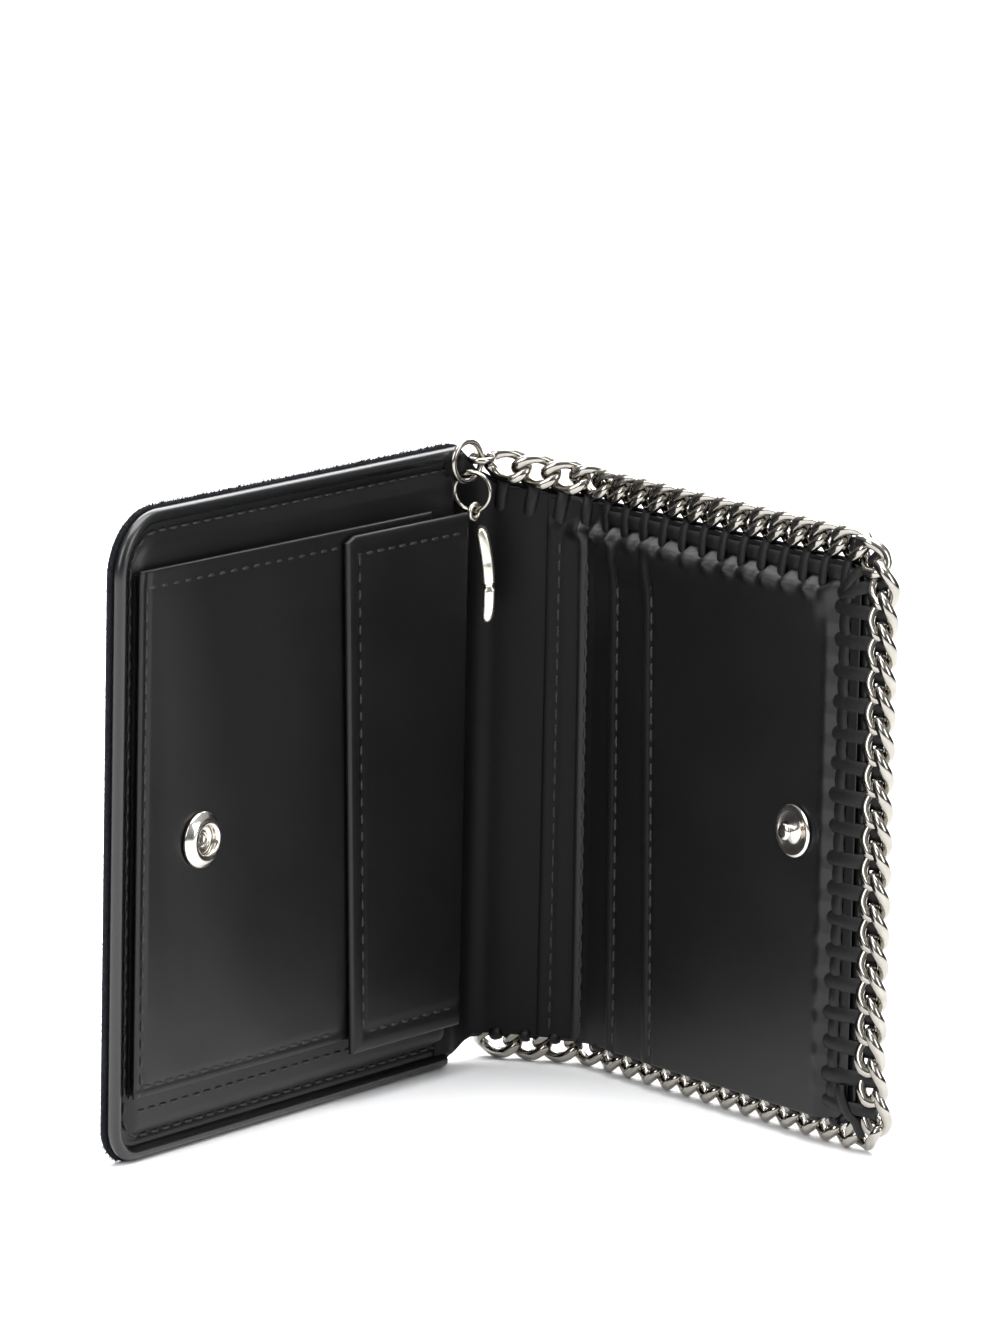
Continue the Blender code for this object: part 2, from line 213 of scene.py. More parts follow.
def per_mm(size):
    """Texture scale that makes a feature of that size in millimetres."""
    return 1000 / size


def cover_material():
    """Black-blue brushed textile: short nap in clumps, with a fine woven grain below."""
    material, shader, coords = new_material("cover_fabric", Sheen_Weight=0.12, Sheen_Roughness=0.5,
                                            Specular_IOR_Level=0.25)
    shader.inputs["Sheen Tint"].default_value = linear("8a8fa6")
    clumps = add(material, "ShaderNodeTexNoise", {"Vector": coords, "Scale": per_mm(0.9),
                                                  "Detail": 5.0, "Roughness": 0.65})
    grain = add(material, "ShaderNodeTexVoronoi", {"Vector": coords, "Scale": per_mm(0.38)})
    colour = add(material, "ShaderNodeValToRGB", {"Fac": clumps.outputs["Fac"]})
    colour.color_ramp.elements[0].position, colour.color_ramp.elements[1].position = 0.35, 0.72
    colour.color_ramp.elements[0].color = linear("08080a")
    colour.color_ramp.elements[1].color = linear("1b1c22")
    rough = add(material, "ShaderNodeMapRange", {"Value": clumps.outputs["Fac"], "To Min": 0.95,
                                                 "To Max": 0.7})
    fine = add(material, "ShaderNodeBump", {"Height": grain.outputs["Distance"], "Strength": 0.5,
                                            "Distance": 0.00012})
    nap = add(material, "ShaderNodeBump", {"Height": clumps.outputs["Fac"], "Strength": 0.9,
                                           "Distance": 0.0004, "Normal": fine.outputs["Normal"]})
    connect(material, colour.outputs["Color"], shader.inputs["Base Color"])
    connect(material, rough.outputs["Result"], shader.inputs["Roughness"])
    connect(material, nap.outputs["Normal"], shader.inputs["Normal"])
    return material


TALL, FLAP_TOP, FLAP_FOOT = 110.0, 100.7, 4.2


def top_edge(c):
    """Height of the leather's top edge along the line."""
    return np.interp(c, (93.5, 95.5, 98.0, 101.0, 105.0, 119.0, 126.0),
                     (TALL, 109.6, 107.6, 104.8, 103.0, 101.4, FLAP_TOP))


def foot_edge(c):
    """Height of the leather's lower edge along the line."""
    return np.interp(c, (92.0, 95.0, 98.0, 102.0, 106.0), (0.0, 0.5, 2.0, 3.8, FLAP_FOOT))


cover_cloth = cover_material()
COVER = 0.9
BACK_TOP_RADIUS, BACK_FOOT_RADIUS = 11.0, 6.5
BEND_LEVEL = 50
root_bend = [skin(c, 0, BEND_LEVEL) * MM for c in (95.0, 107.5)]
crease_bend = [skin(c, 0, BEND_LEVEL) * MM for c in (SPINE_END - 0.5, FLAP_START + 0.5)]
vs = lines(0, TALL, 1.6) / TALL
c, z = spread(lines(0, MID_SPINE, 1.0, edge_high=False), vs,
              lambda c: foot_edge(c) + arc_drop(-c, 0, BACK_FOOT_RADIUS),
              lambda c: top_edge(c) - arc_drop(-c, 0, BACK_TOP_RADIUS))
d = np.minimum(corner_distance(-c, z, 0, 0, TALL, BACK_FOOT_RADIUS, BACK_TOP_RADIUS),
               np.minimum(top_edge(c) - z, z - foot_edge(c)))
edge = rolled(d, COVER / 2)
root_cover = slab("cover_back", c, z, COVER - edge, edge, cover_cloth)
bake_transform(root_cover)
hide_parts("back_cover", "spine_cover")

LEATHER_RADIUS = 5.0
c, z = spread(lines(MID_SPINE, FLAP_EDGE, 1.0, edge_low=False), vs,
              lambda c: foot_edge(c) + arc_drop(c, FLAP_EDGE, LEATHER_RADIUS),
              lambda c: top_edge(c) - arc_drop(c, FLAP_EDGE, LEATHER_RADIUS))
d = np.minimum(np.minimum(top_edge(c) - z, z - foot_edge(c)),
               corner_distance(c, z, FLAP_EDGE, FLAP_FOOT, FLAP_TOP, LEATHER_RADIUS, LEATHER_RADIUS))
edge = rolled(np.maximum(d, 0), COVER / 2)
flap_cover = slab("cover_flap", c, z, COVER - edge, edge, cover_cloth)
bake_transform(flap_cover)
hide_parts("flap_cover")


# ==== Cover's nap ==========================================================================
# Loose fibres of the brushed textile stand out from its cut edge along the back panel's top,
# free side and foot, and give it a soft outline.

nap = np.random.default_rng(5)
NAP_COUNT, NAP_LONG, NAP_THICK, NAP_AHEAD = 5200, 0.55, 0.06, 0.3
along = nap.uniform(0, 1, NAP_COUNT)
quarter = np.linspace(0, math.pi / 2, 30)
lower_quarter = np.linspace(0, math.pi / 2, 20)
arc_z = np.concatenate([np.full(60, TALL), TALL - BACK_TOP_RADIUS + BACK_TOP_RADIUS * np.cos(quarter),
                        np.linspace(98, 7, 60),
                        BACK_FOOT_RADIUS - BACK_FOOT_RADIUS * np.sin(lower_quarter), np.zeros(40)])
arc_c = np.concatenate([np.linspace(93, 11.5, 60), BACK_TOP_RADIUS - BACK_TOP_RADIUS * np.sin(quarter),
                        np.zeros(60), BACK_FOOT_RADIUS - BACK_FOOT_RADIUS * np.cos(lower_quarter),
                        np.linspace(7, 90, 40)])
arc_far = np.concatenate([[0], np.cumsum(np.hypot(np.diff(arc_c), np.diff(arc_z)))])
fibre_far = along * arc_far[-1]
fibre_c, fibre_z = (np.interp(fibre_far, arc_far, value) for value in (arc_c, arc_z))
step_c, step_z = (np.interp(fibre_far + NAP_AHEAD, arc_far, value) for value in (arc_c, arc_z))
out_c, out_z = (step_z - fibre_z) / NAP_AHEAD, (fibre_c - step_c) / NAP_AHEAD
fibre_off = nap.uniform(0.08, 0.82, NAP_COUNT)
lean_c, lean_z, lean_off = nap.normal(0, 0.55, (3, NAP_COUNT))
long = NAP_LONG * nap.uniform(0.4, 1.0, NAP_COUNT)
root = skin(fibre_c - 0.15 * out_c, fibre_off, np.maximum(fibre_z - 0.15 * out_z, 0.12))
tip = skin(fibre_c + long * (out_c + lean_c), fibre_off + long * lean_off,
           np.maximum(fibre_z + long * (out_z + lean_z), 0.05))
points, faces = [], []
for k in range(3):
    turned = 2 * math.pi * k / 3
    points.append(root + NAP_THICK * np.array([math.cos(turned), math.sin(turned), 0.6 * (k - 1)]))
points = np.stack(points + [tip], 1).reshape(-1, 3)
for i in range(0, 4 * NAP_COUNT, 4):
    faces += [(i, i + 1, i + 2), (i, i + 1, i + 3), (i + 1, i + 2, i + 3), (i + 2, i, i + 3)]
fibres = solid("cover_edge_nap", points, faces, cover_cloth)
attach(fibres, "back")


# ==== Back panel's turned edge ============================================================
# A strip of glossy coated leather is folded over the panel's board and frames the inside.
# It is a rounded roll, about 2 mm wide.

def sweep(name, paths, section, material, closed=False, normals=None):
    """Tubes along paths of points. The section is (out, side) pairs about each path's normal."""
    points, faces = [], []
    for index, path in enumerate(paths):
        path = np.asarray(path, float)
        if closed:
            tangent = np.roll(path, -1, 0) - np.roll(path, 1, 0)
        else:
            tangent = np.gradient(path, axis=0)
        tangent /= np.linalg.norm(tangent, axis=1)[:, None]
        out = np.broadcast_to(normals[index], path.shape).copy()
        out -= (out * tangent).sum(1)[:, None] * tangent
        out /= np.linalg.norm(out, axis=1)[:, None]
        side = np.cross(tangent, out)
        shape = np.asarray(section if np.ndim(section) == 2 else section[index])
        ring = path[:, None] + out[:, None] * shape[None, :, :1] + side[:, None] * shape[None, :, 1:]
        start = sum(len(p) for p in points)
        points.append(ring.reshape(-1, 3))
        rows, columns = len(path), len(shape)
        faces += grid_faces(rows, columns, start, close_rows=closed, close_columns=True)
        if not closed:
            faces.append(tuple(start + k for k in range(columns)))
            faces.append(tuple(start + (rows - 1) * columns + k for k in range(columns - 1, -1, -1)))
    return solid(name, np.concatenate(points), faces, material)


def oval(out, side, sides=16):
    """An elliptical section."""
    t = 2 * np.pi * np.arange(sides) / sides
    return np.stack([out * np.cos(t), side * np.sin(t)], -1)


GRAIN = 0.00002


def coated_leather(name, dark, light, roughness, coat, grain_mm, specular=0.34):
    """Faux leather: pebbled grain, faint creasing and a roughness that wanders with handling."""
    material, shader, coords = new_material(name, Coat_Weight=coat, Coat_Roughness=0.22,
                                            Specular_IOR_Level=specular)
    handling = add(material, "ShaderNodeTexNoise", {"Vector": coords, "Scale": per_mm(22.0),
                                                    "Detail": 4.0})
    pebbles = add(material, "ShaderNodeTexVoronoi", {"Vector": coords, "Scale": per_mm(grain_mm)},
                  feature="SMOOTH_F1")
    creases = add(material, "ShaderNodeTexNoise", {"Vector": coords, "Scale": per_mm(1.6),
                                                   "Detail": 6.0, "Roughness": 0.6})
    colour = add(material, "ShaderNodeMix", {"Factor": handling.outputs["Fac"]}, data_type="RGBA")
    colour.inputs["A"].default_value = linear(dark)
    colour.inputs["B"].default_value = linear(light)
    rough = add(material, "ShaderNodeMapRange", {"Value": handling.outputs["Fac"],
                                                 "From Min": 0.3, "From Max": 0.7,
                                                 "To Min": roughness - 0.03,
                                                 "To Max": roughness + 0.03})
    fine = add(material, "ShaderNodeBump", {"Height": pebbles.outputs["Distance"], "Strength": 0.35,
                                            "Distance": GRAIN})
    broad = add(material, "ShaderNodeBump", {"Height": creases.outputs["Fac"], "Strength": 0.25,
                                             "Distance": GRAIN * 2,
                                             "Normal": fine.outputs["Normal"]})
    connect(material, colour.outputs[2], shader.inputs["Base Color"])
    connect(material, rough.outputs["Result"], shader.inputs["Roughness"])
    connect(material, broad.outputs["Normal"], shader.inputs["Normal"])
    return material


def outline_path(c_end, low, high, r_low, r_high, step=0.8):
    """(c, z) pairs along a panel's top, round corner, free side (c = 0), corner and foot."""
    arc = np.linspace(0, math.pi / 2, 14)
    top_c = np.arange(c_end, r_high, -step)
    top = np.stack([top_c, np.full(len(top_c), high)], -1)
    upper = np.stack([r_high * (1 - np.sin(arc)), high - r_high * (1 - np.cos(arc))], -1)
    side_z = np.arange(high - r_high - step, low + r_low, -step)
    side = np.stack([np.zeros(len(side_z)), side_z], -1)
    lower = np.stack([r_low * (1 - np.cos(arc)), low + r_low * (1 - np.sin(arc))], -1)
    foot_c = np.arange(r_low + step, c_end, step)
    foot = np.stack([foot_c, np.full(len(foot_c), low)], -1)
    return np.concatenate([top, upper, side, lower, foot])


gloss_leather = coated_leather("edge_gloss", "0a0a0b", "101112", 0.34, 0.6, 0.45)
BINDING_INSET, BINDING_OFF = 1.45, 2.0
route = outline_path(91.9, BINDING_INSET, TALL - BINDING_INSET, BACK_FOOT_RADIUS - BINDING_INSET,
                     BACK_TOP_RADIUS - BINDING_INSET)
back_inward = skin(50, 1, 0) - skin(50, 0, 0)
path = skin(route[:, 0] + BINDING_INSET, BINDING_OFF, route[:, 1])
binding = sweep("turned_edge", [path], oval(1.15, 1.15, 20), gloss_leather,
                normals=[back_inward])
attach(binding, "back")
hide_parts("back_edge_binding", "back_stiffener")


# ==== Back panel's lining ================================================================
# Smooth faux leather, lightly padded inside a line of stitching 4 mm in from the edge. It
# runs on round the fold and over the spine, as far as the first card slot.

panel_leather = coated_leather("panel_leather", "0b0b0c", "121213", 0.42, 0.06, 0.4)
# The fold, the spine and the first card slot get the lining's leather again, with a darker colour and
# less specular. The darker colour is painted shade: it stands in for the spine's dimmer reflection.
spine_leather_painted_shade = coated_leather("spine_leather_painted_shade", "08080a", "0e0e0f", 0.5, 0.0, 0.4, specular=0.17)
LINING = 0.6
STITCH_IN = 1.7


def groove(d, width=0.45):
    """Depth of the dent that a line of stitches pulls into leather."""
    return np.exp(-(d / width) ** 2)


LINING_IN, LINING_END, LINING_LOW_RADIUS, LINING_TOP_RADIUS = 2.4, 94.0, 4.4, 8.8
lining_high = TALL - LINING_IN
c, z = spread(lines(LINING_IN, LINING_END, 0.7), lines(0, TALL, 0.8) / TALL,
              lambda c: LINING_IN + arc_drop(-c, -LINING_IN, LINING_LOW_RADIUS),
              lambda c: lining_high - arc_drop(-c, -LINING_IN, LINING_TOP_RADIUS))
d = corner_distance(-c, z, -LINING_IN, LINING_IN, lining_high, LINING_LOW_RADIUS, LINING_TOP_RADIUS)
pad = 0.75 * ease((d - STITCH_IN) / 2.2) - 0.3 * groove(d - STITCH_IN)
pad *= ease((LINING_END - c) / 3.0)
edge = rolled(np.minimum(d, LINING_END - c), LINING / 2)
back_lining = slab("lining_back", c, z, 2.0 + pad - edge, 1.4 + edge, panel_leather)
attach(back_lining, "back")
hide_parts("back_lining")


def fold_inset(c):
    """How far the lining's top and foot are inside the cover's: more on the back panel."""
    return 0.7 + 1.4 * ease((97 - c) / 4)


FOLD_LINING_START = 90.0
c, z = spread(lines(FOLD_LINING_START, LINING_JOIN, 0.7, edge_high=False), lines(0, TALL, 1.2) / TALL,
              lambda c: foot_edge(c) + fold_inset(c), lambda c: top_edge(c) - fold_inset(c))
d = np.minimum(np.minimum(c - FOLD_LINING_START, 1.0),
               np.minimum(z - foot_edge(c) - fold_inset(c), top_edge(c) - fold_inset(c) - z))
edge = rolled(np.maximum(d, 0), LINING / 2)
lift = 0.6 * ease((97.0 - c) / 3.0)
# The fold and spine lining use the darker copy of the leather: its darker colour is painted shade.
root_lining = slab("lining_fold", c, z, 1.75 + lift - edge, 1.15 + lift + edge, spine_leather_painted_shade)
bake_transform(root_lining)
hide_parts("spine_lining")


# ==== Stitching ===========================================================================
# Lockstitch in black polyester thread: one short oval of thread for each stitch, with its
# ends pulled down into the leather.

def worn(name, tones, patch, rough, relief, strength, height, **sockets):
    """A material whose tone and roughness vary in patches, over a fine relief.

    patch is the patches' size in millimetres and the detail of their noise. relief makes the
    node that stands out, by a strength and a height in metres; without one the patches do.
    """
    material, shader, coords = new_material(name, **sockets)
    patches = add(material, "ShaderNodeTexNoise", {"Vector": coords, "Scale": per_mm(patch[0]),
                                                   "Detail": patch[1]})
    tone = add(material, "ShaderNodeMix", {"Factor": patches.outputs["Fac"]}, data_type="RGBA")
    tone.inputs["A"].default_value = linear(tones[0])
    tone.inputs["B"].default_value = linear(tones[1])
    dull = add(material, "ShaderNodeMapRange", {"Value": patches.outputs["Fac"], "To Min": rough[0],
                                                "To Max": rough[1]})
    fine = relief(material, coords) if relief else patches
    bump = add(material, "ShaderNodeBump", {"Height": fine.outputs["Fac"], "Strength": strength,
                                            "Distance": height})
    connect(material, tone.outputs[2], shader.inputs["Base Color"])
    connect(material, dull.outputs["Result"], shader.inputs["Roughness"])
    connect(material, bump.outputs["Normal"], shader.inputs["Normal"])
    return material


def thread_twist(material, coords):
    """The turns of a twisted thread, as bands."""
    return add(material, "ShaderNodeTexWave", {"Vector": coords, "Scale": per_mm(1.4),
                                               "Distortion": 1.5}, bands_direction="DIAGONAL")


thread = worn("thread", ("161617", "29292b"), (2.5, 2.0), (0.42, 0.62), thread_twist, 0.5, 0.00006,
              Specular_IOR_Level=0.45)


def stitches(name, rows, body, pitch=3.0, length=2.3, radius=0.27):
    """Ovals of thread spaced along rows. A row is arrays of c, off and z."""
    t = np.linspace(-1, 1, 7)
    thick = radius * np.sqrt(np.maximum(1 - 0.92 * t ** 2, 0.02))
    around = 2 * np.pi * np.arange(8) / 8
    along = np.repeat(t * length / 2, 8)
    up = (thick[:, None] * np.cos(around)).ravel() - np.repeat(0.28 * t ** 4, 8)
    side = (1.15 * thick[:, None] * np.sin(around)).ravel()
    shape = grid_faces(7, 8, close_columns=True) + [tuple(range(8)), tuple(range(55, 47, -1))]
    points, faces = [], []
    for c, off, z in rows:
        path = skin(c, off, z)
        far = np.concatenate([[0], np.cumsum(np.linalg.norm(np.diff(path, axis=0), axis=1))])
        spots = np.arange(pitch / 2, far[-1], pitch)
        middle, ahead, behind = (np.stack([np.interp(spots + shift, far, path[:, k])
                                           for k in range(3)], -1) for shift in (0, 0.2, -0.2))
        tangent = ahead - behind
        tangent /= np.linalg.norm(tangent, axis=1)[:, None]
        lifted = skin(c, off + 1.0, z) - path
        out = np.stack([np.interp(spots, far, lifted[:, k]) for k in range(3)], -1)
        across = np.cross(tangent, out)
        for k in range(len(spots)):
            start = len(points) * 56
            points.append(middle[k] + along[:, None] * tangent[k] + up[:, None] * out[k]
                          + side[:, None] * across[k])
            faces += [tuple(start + i for i in face) for face in shape]
    made = solid(name, np.concatenate(points), faces, thread)
    if body:
        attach(made, body)
    return made


row_in = LINING_IN + STITCH_IN
route = outline_path(91.0, row_in, TALL - row_in, BACK_FOOT_RADIUS - row_in + 1.5,
                     BACK_TOP_RADIUS - row_in)
stitches("stitching_back_lining", [(route[:, 0] + row_in, 1.95, route[:, 1])], "back")


# ==== Coin pocket ========================================================================
# The pocket's front is a leather panel with a folded top edge, sewn down along its left
# side. The wall behind the coins and the folded gussets show through the gap at the top.

POCKET_SEAM_OFF, POCKET_SLOPE = 3.55, 0.01815
SEAM_C, MOUTH_C, POCKET_LOW, POCKET_HIGH = 4.0, 81.5, 11.3, 100.3
POCKET_TALL = POCKET_HIGH - POCKET_LOW
ROW_TOP, ROW_SIDE, ROW_FOOT = 3.0, 1.5, 1.8
BILLOW, BILLOW_WIDE = 0.3, 58


def pocket_back(c):
    """Depth of the pocket front's back face: it stands off more towards its mouth."""
    return POCKET_SEAM_OFF + (c - SEAM_C) * POCKET_SLOPE


def upright(us, low, high, step):
    """Grids of u and z for a sheet whose top and foot are level."""
    v = (lines(low, high, step) - low) / (high - low)
    return spread(us, v, lambda u: low + 0 * u, lambda u: high + 0 * u)


c, z = upright(lines(SEAM_C, MOUTH_C, 0.8), POCKET_LOW, POCKET_HIGH, 0.8)
from_top, from_side, from_foot = POCKET_HIGH - z, c - SEAM_C, z - POCKET_LOW
d = np.minimum(np.minimum(from_side, MOUTH_C - c), np.minimum(from_foot, from_top))
billow = BILLOW * np.sin(np.pi * np.clip(from_side / BILLOW_WIDE, 0, 1)) ** 2
billow *= np.sin(np.pi * from_foot / POCKET_TALL) ** 0.5
relief = 0.22 * ease(1 - from_top / 2.6) + billow
relief -= 0.28 * groove(from_top - ROW_TOP) + 0.22 * groove(from_side - ROW_SIDE)
relief -= 0.2 * groove(from_foot - ROW_FOOT)
relief += 0.12 * np.sin(c * 0.21 + z * 0.05) * ease(d / 8)
edge = rolled(d, 0.45)
coin_front = slab("coin_pocket_front_panel", c, z, pocket_back(c) + 0.9 + relief - edge,
                  pocket_back(c) + edge, panel_leather)
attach(coin_front, "coin_pocket")
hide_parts("coin_pocket_front")
level = np.linspace(SEAM_C + ROW_SIDE, 57.5, 80)
rise = np.linspace(POCKET_LOW + ROW_FOOT, POCKET_HIGH - ROW_TOP, 80)
swell = BILLOW * np.sin(np.pi * np.clip((level - SEAM_C) / BILLOW_WIDE, 0, 1)) ** 2
stitches("stitching_coin_pocket", [
    (level, pocket_back(level) + 0.88 + swell * 0.18 - 0.1, np.full(80, POCKET_HIGH - ROW_TOP)),
    (level, pocket_back(level) + 0.85, np.full(80, POCKET_LOW + ROW_FOOT)),
    (np.full(80, SEAM_C + ROW_SIDE), pocket_back(SEAM_C + ROW_SIDE) + 0.82, rise)], "coin_pocket")
level = np.linspace(6.0, 88.0, 80)
stitches("stitching_lower_edge", [(level, np.full(80, 2.8), np.full(80, 8.6))], "back")
for name in ("coin_pocket_wall", "lower_gusset", "upper_gusset"):
    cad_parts[name].data.materials[0] = panel_leather


# ==== Coin flap ==========================================================================
# A strip of doubled leather closes the pocket's mouth. Its long free edge is folded and
# stands a little proud, with stitching about 3.5 mm in; its root is a short strip that
# curves out from the lining to it.

FLAP_HINGE_OFF, STRIP = 6.8, 1.1
STRIP_LOW, STRIP_HIGH, ROOT_HIGH = 9.0, 99.2, 97.2
HINGE_C = 90.0


def strip_reach(z):
    """How far the strip's free edge is from its hinge: it narrows towards its foot."""
    return 29.8 + 3.6 * (z - STRIP_LOW) / (STRIP_HIGH - STRIP_LOW)


def strip_middle(s):
    """Depth of the strip's middle at a distance s from its hinge."""
    return FLAP_HINGE_OFF - s * POCKET_SLOPE


STRIP_ROW, STRIP_ROLL = 3.4, 2.2
u = np.concatenate([np.linspace(0, 0.9, 46)[:-1], 1 - lines(0, 3.0, 0.4)[::-1] / 32])
u, z = upright(np.unique(np.clip(u, 0, 1)), STRIP_LOW, STRIP_HIGH, 0.8)
s = u * strip_reach(z)
d_free = strip_reach(z) - s
d = np.minimum(d_free, np.minimum(z - STRIP_LOW, STRIP_HIGH - z))
near_top = np.clip((z - (STRIP_HIGH - STRIP_ROLL)) / STRIP_ROLL, 0, 1)
corner = np.maximum(0, STRIP_ROLL - d_free) * near_top
z = z - corner * 0.45
relief = 0.14 * np.exp(-((d - 1.5) / 1.3) ** 2) - 0.3 * groove(d - STRIP_ROW)
relief += 0.1 * ease(1 - d_free / 5)
edge = rolled(d, STRIP / 2)
strip = slab("coin_flap_strip", HINGE_C - s, z, strip_middle(s) + STRIP / 2 + relief - edge,
             strip_middle(s) - STRIP / 2 + edge + 0.1 * ease(1 - d_free / 5), panel_leather)
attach(strip, "coin_flap")
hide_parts("coin_flap")
rise = np.linspace(STRIP_LOW + STRIP_ROW, STRIP_HIGH - STRIP_ROW, 80)
rows = [(strip_reach(rise) - STRIP_ROW, rise)]
for level in (STRIP_HIGH, STRIP_LOW):
    inwards = STRIP_ROW if level == STRIP_LOW else -STRIP_ROW
    rows.append((np.linspace(1.5, strip_reach(level) - STRIP_ROW, 40), np.full(40, level + inwards)))
stitches("stitching_coin_flap",
         [(HINGE_C - s, strip_middle(s) + STRIP / 2 - 0.17, z) for s, z in rows], "coin_flap")

t, z = upright(np.linspace(0, 1, 14), STRIP_LOW, ROOT_HIGH, 1.6)
hinge_c = 94.2 - 4.4 * t
hinge_off = 3.0 + 3.9 * ease(t)
edge = rolled(np.minimum(z - STRIP_LOW, ROOT_HIGH - z), 0.35)
hinge = slab("coin_flap_root", hinge_c, z, hinge_off + 0.45 - edge, hinge_off - 0.25 + edge,
             panel_leather)
skin(93.5, 3.5, BEND_LEVEL) * MM
skin(90.3, 6.5, BEND_LEVEL) * MM
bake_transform(hinge)


# ==== Snap ===============================================================================
# Pressed brass with a nickel finish. The socket is a domed ring riveted to the pocket's
# front, over a shallow well. Its stud is on the flap, in the next section.

def scratches(size):
    """Fine scratches of that size in millimetres, as a relief."""
    return lambda material, coords: add(material, "ShaderNodeTexNoise",
                                        {"Vector": coords, "Scale": per_mm(size), "Detail": 3.0})


def plated(name, tones, roughness):
    """Polished plating: fine scratches, and handling marks in the roughness."""
    return worn(name, tones, (3.0, 3.0), (roughness - 0.05, roughness + 0.08), scratches(0.25), 0.12,
                0.00001, Metallic=1.0)


def lathe(name, profile, centre, axis, material, sides=64):
    """A profile of (radius, height) points turned about an axis; radius 0 closes it."""
    axis = np.asarray(axis, float) / np.linalg.norm(axis)
    first = np.cross(axis, (0, 0, 1))
    first /= np.linalg.norm(first)
    second = np.cross(axis, first)
    t = 2 * np.pi * np.arange(sides) / sides
    spin = np.cos(t)[:, None] * first + np.sin(t)[:, None] * second
    points, faces, rings = [], [], []
    for radius, height in profile:
        start = len(points)
        spot = centre + axis * height
        points += [spot] if radius == 0 else list(spot + spin * radius)
        rings.append((start, radius == 0))
    ring_pairs = list(zip(rings, rings[1:]))
    if profile[0][0] > 0:
        ring_pairs.append((rings[-1], rings[0]))
    for (a, a_pole), (b, b_pole) in ring_pairs:
        for k in range(sides):
            m = (k + 1) % sides
            if a_pole:
                faces.append((a, b + k, b + m))
            elif b_pole:
                faces.append((a + k, a + m, b))
            else:
                faces.append((a + k, a + m, b + m, b + k))
    return solid(name, points, faces, material)


nickel = plated("snap_nickel", ("d8d2c8", "e6e2dc"), 0.16)
SNAP_LEVEL, BACK_WIDE, SOCKET_S = 53.0, 95, 75.0
socket_c = BACK_WIDE - SOCKET_S
socket_base = skin(socket_c, pocket_back(socket_c) + 1.18, SNAP_LEVEL)
socket = lathe("snap_socket_ring", [(2.5, 0.1), (2.45, 1.0), (2.6, 1.35), (3.0, 1.55), (3.5, 1.52),
                                    (3.95, 1.3), (4.3, 0.95), (4.65, 0.7), (4.86, 0.45), (4.9, 0.2),
                                    (4.8, 0.0), (2.6, 0.0)], socket_base, back_inward, nickel)
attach(socket, "coin_pocket")
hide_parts("snap_socket")
well = lathe("snap_socket_well", [(0, -0.2), (2.42, -0.2), (2.42, 0.3), (2.2, 0.34), (1.9, 0.1),
                                  (1.2, 0.02), (1.0, 0.1), (0.8, 0.02), (0, 0.0)],
             socket_base, back_inward, nickel)
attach(well, "coin_pocket")


# ==== Flap's lining and card slots =======================================================
# The slots are overlapping layers of the same leather, each with a folded, stitched left
# edge. The layers follow the crease, and the lacing pulls their border into small puckers.

PITCH, ROUTE_START, CLIMB, ROUTE_STEP = 5.3, 104.4, 2.4, 0.25
TOP_LINE, SIDE_LINE, FOOT_LINE = 103.5, FLAP_EDGE + 3.2, 3.25
CORNER_TOP, CORNER_FOOT = 8.0, 4.6


def chain_line():
    """The chain's centre line: arrays of c, z and distance, top to free side to foot."""
    arc = np.linspace(0, math.pi / 2, 40)
    top_c = np.arange(ROUTE_START, SIDE_LINE - CORNER_TOP, ROUTE_STEP)
    upper = (SIDE_LINE - CORNER_TOP + CORNER_TOP * np.sin(arc),
             TOP_LINE - CORNER_TOP + CORNER_TOP * np.cos(arc))
    side_z = np.arange(TOP_LINE - CORNER_TOP, FOOT_LINE + CORNER_FOOT, -ROUTE_STEP)
    lower = (SIDE_LINE - CORNER_FOOT + CORNER_FOOT * np.cos(arc),
             FOOT_LINE + CORNER_FOOT - CORNER_FOOT * np.sin(arc))
    foot_c = np.arange(SIDE_LINE - CORNER_FOOT, ROUTE_START, -ROUTE_STEP)
    climb = CLIMB * np.clip((FLAP_START - top_c) / (FLAP_START - ROUTE_START), 0, 1) ** 1.4
    c = np.concatenate([top_c, upper[0][1:], np.full(len(side_z), SIDE_LINE), lower[0][1:],
                        foot_c[1:]])
    z = np.concatenate([TOP_LINE + climb, upper[1][1:], side_z, lower[1][1:],
                        np.full(len(foot_c) - 1, FOOT_LINE)])
    far = np.concatenate([[0], np.cumsum(np.hypot(np.diff(c), np.diff(z)))])
    return c, z, far


chain_c, chain_z, chain_far = chain_line()
link_count = int(chain_far[-1] // PITCH)
link_far = (np.arange(link_count) + 0.5) * chain_far[-1] / link_count
LINK_PITCH = chain_far[-1] / link_count
HOLES_TOP, HOLES_SIDE = 95.0, 188.2
top_run = chain_z > TOP_LINE - 0.01
side_run = np.flatnonzero((chain_c > SIDE_LINE - 0.01) & ~top_run)[::-1]


def scallops(c, z):
    """Waves from 0 at each loop's hole to 1 between two holes, on the top and on the side."""
    top_far = np.interp(c, chain_c[top_run], chain_far[top_run]) / LINK_PITCH
    side_far = np.interp(z, chain_z[side_run], chain_far[side_run]) / LINK_PITCH
    return [2 * np.abs((far + 0.06 * np.sin(5 * far)) % 1 - 0.5) for far in (top_far, side_far)]


def pucker(c, z):
    """How leather near the lacing's holes swells between one loop and the next."""
    top_wave, side_wave = scallops(c, z)
    row = 1.5 * top_wave * np.exp(-((z - HOLES_TOP) / 1.3) ** 2)
    row *= ease((c - 113) / 8) * ease((190 - c) / 4)
    column = 0.35 * side_wave * np.exp(-((c - HOLES_SIDE - 0.2) / 0.9) ** 2)
    column *= ease((z - 8) / 6) * ease((92 - z) / 4)
    swell = 0.9 * np.exp(-((z - 92.0) / 3.4) ** 2) * ease((c - 118) / 14) * ease((190 - c) / 5)
    return row + column + swell


